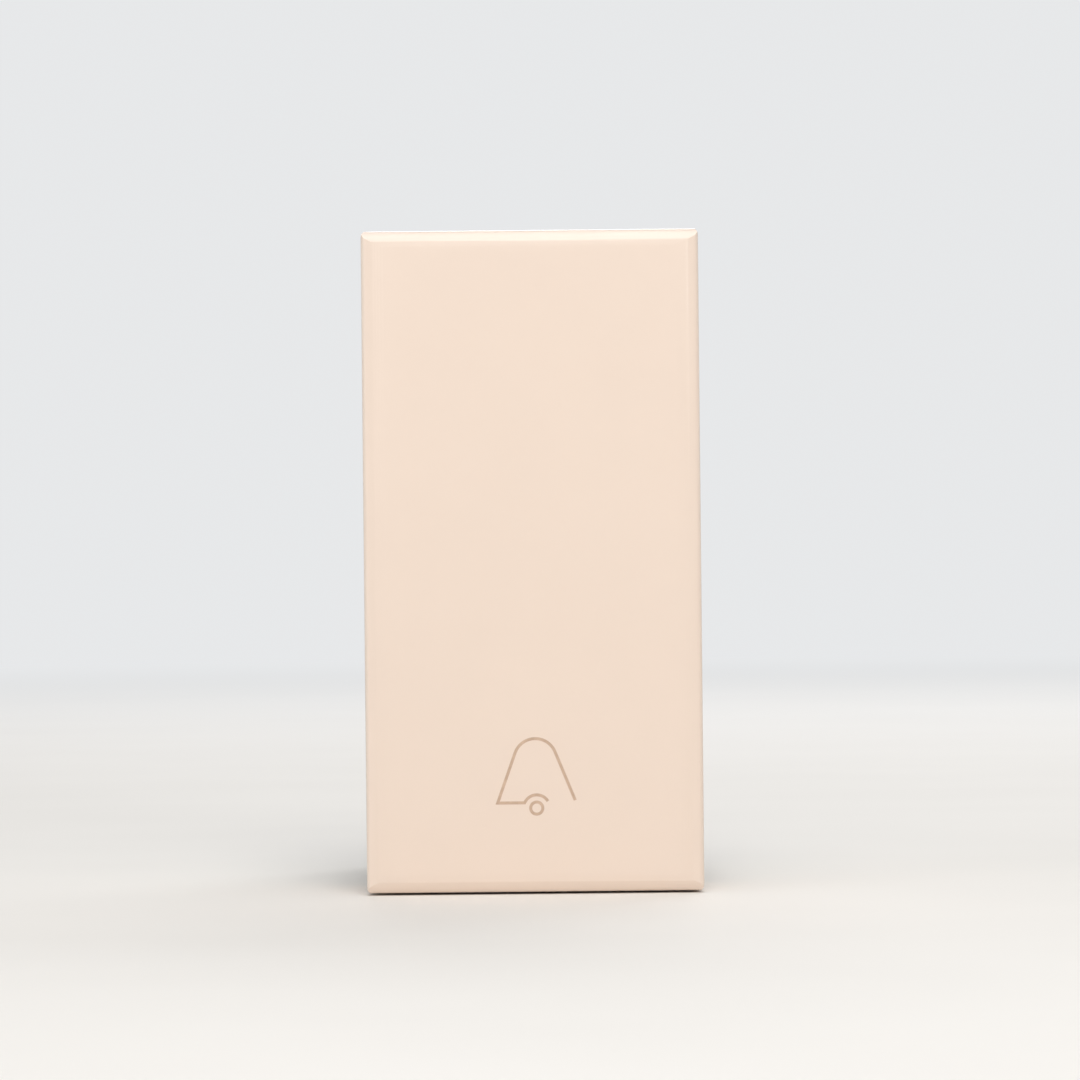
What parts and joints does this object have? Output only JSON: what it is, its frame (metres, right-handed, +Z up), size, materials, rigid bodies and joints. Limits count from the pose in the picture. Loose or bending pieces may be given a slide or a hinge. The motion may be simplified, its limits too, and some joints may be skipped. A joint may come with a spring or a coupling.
{
  "type": "doorbell push button",
  "caption": "Tall rectangular doorbell push for a modular wall plate: full-face rocker, moulded mechanism box, sprung contacts and screw terminals.",
  "frame": {"origin": "middle of the plane in which the flanges seat on the support frame's rails", "axes": "+X to the right seen from the front, +Y into the wall, +Z up the rocker's length"},
  "size_m": [0.0222, 0.0345, 0.044],
  "materials": {
    "cream_face": "satin gloss cream moulding",
    "frame_plastic": "cream moulding, satin",
    "housing_plastic": "light grey moulding, fine matt",
    "carrier_plastic": "grey-beige moulding, fine matt",
    "cover_plastic": "mid grey moulding, fine matt",
    "plunger_plastic": "natural white slippery plastic",
    "spring_steel": "bright drawn wire",
    "copper_alloy": "stamped copper alloy",
    "contact_silver": "pale silver contact metal",
    "strip_brass": "stamped brass",
    "zinc_steel": "zinc plated steel",
    "screw_steel": "zinc plated steel"
  },
  "bodies": {
    "module": {"front_frame": "frame_plastic", "housing": "housing_plastic", "carrier": "carrier_plastic", "rear_cover": "cover_plastic", "return_spring": "spring_steel", "line_strip": "strip_brass", "load_strip": "strip_brass", "line_tip": "contact_silver", "load_tip": "contact_silver", "line_nut": "zinc_steel", "load_nut": "zinc_steel"},
    "rocker": {"rocker": "cream_face"},
    "plunger": {"plunger": "plunger_plastic", "contact_spring": "spring_steel", "contact_bridge": "copper_alloy", "bridge_tip_left": "contact_silver", "bridge_tip_right": "contact_silver"},
    "line_clamp": {"line_clamp_plate": "zinc_steel"},
    "line_screw": {"line_screw": "screw_steel"},
    "load_clamp": {"load_clamp_plate": "zinc_steel"},
    "load_screw": {"load_screw": "screw_steel"}
  },
  "joints": [
    {"name": "rocker_press", "type": "hinge", "parent": "module", "child": "rocker", "pos_m": [0, -0.0037, 0], "axis": [1, 0, 0], "range_deg": [0, 5.5], "stiffness_Nm_per_rad": 0.196, "springref_deg": -10.23},
    {"name": "plunger_travel", "type": "slide", "parent": "module", "child": "plunger", "axis": [0, 1, 0], "range_m": [0, 0.00135], "deforming": ["return_spring"]},
    {"name": "line_clamp_travel", "type": "slide", "parent": "module", "child": "line_clamp", "axis": [0, -1, 0], "range_m": [0, 0.0026]},
    {"name": "line_screw_turn", "type": "hinge", "parent": "line_clamp", "child": "line_screw", "pos_m": [-0.005, 0.02, 0.014], "axis": [0, -1, 0], "range_deg": [0, 1561]},
    {"name": "load_clamp_travel", "type": "slide", "parent": "module", "child": "load_clamp", "axis": [0, -1, 0], "range_m": [0, 0.0026]},
    {"name": "load_screw_turn", "type": "hinge", "parent": "load_clamp", "child": "load_screw", "pos_m": [0.005, 0.02, -0.014], "axis": [0, -1, 0], "range_deg": [0, 1561]}
  ],
  "couplings": [
    {"joint": "plunger_travel", "follows": "rocker_press", "m_per_rad": 0.014},
    {"joint": "line_screw_turn", "follows": "line_clamp_travel", "rad_per_m": 10472},
    {"joint": "load_screw_turn", "follows": "load_clamp_travel", "rad_per_m": 10472}
  ]
}
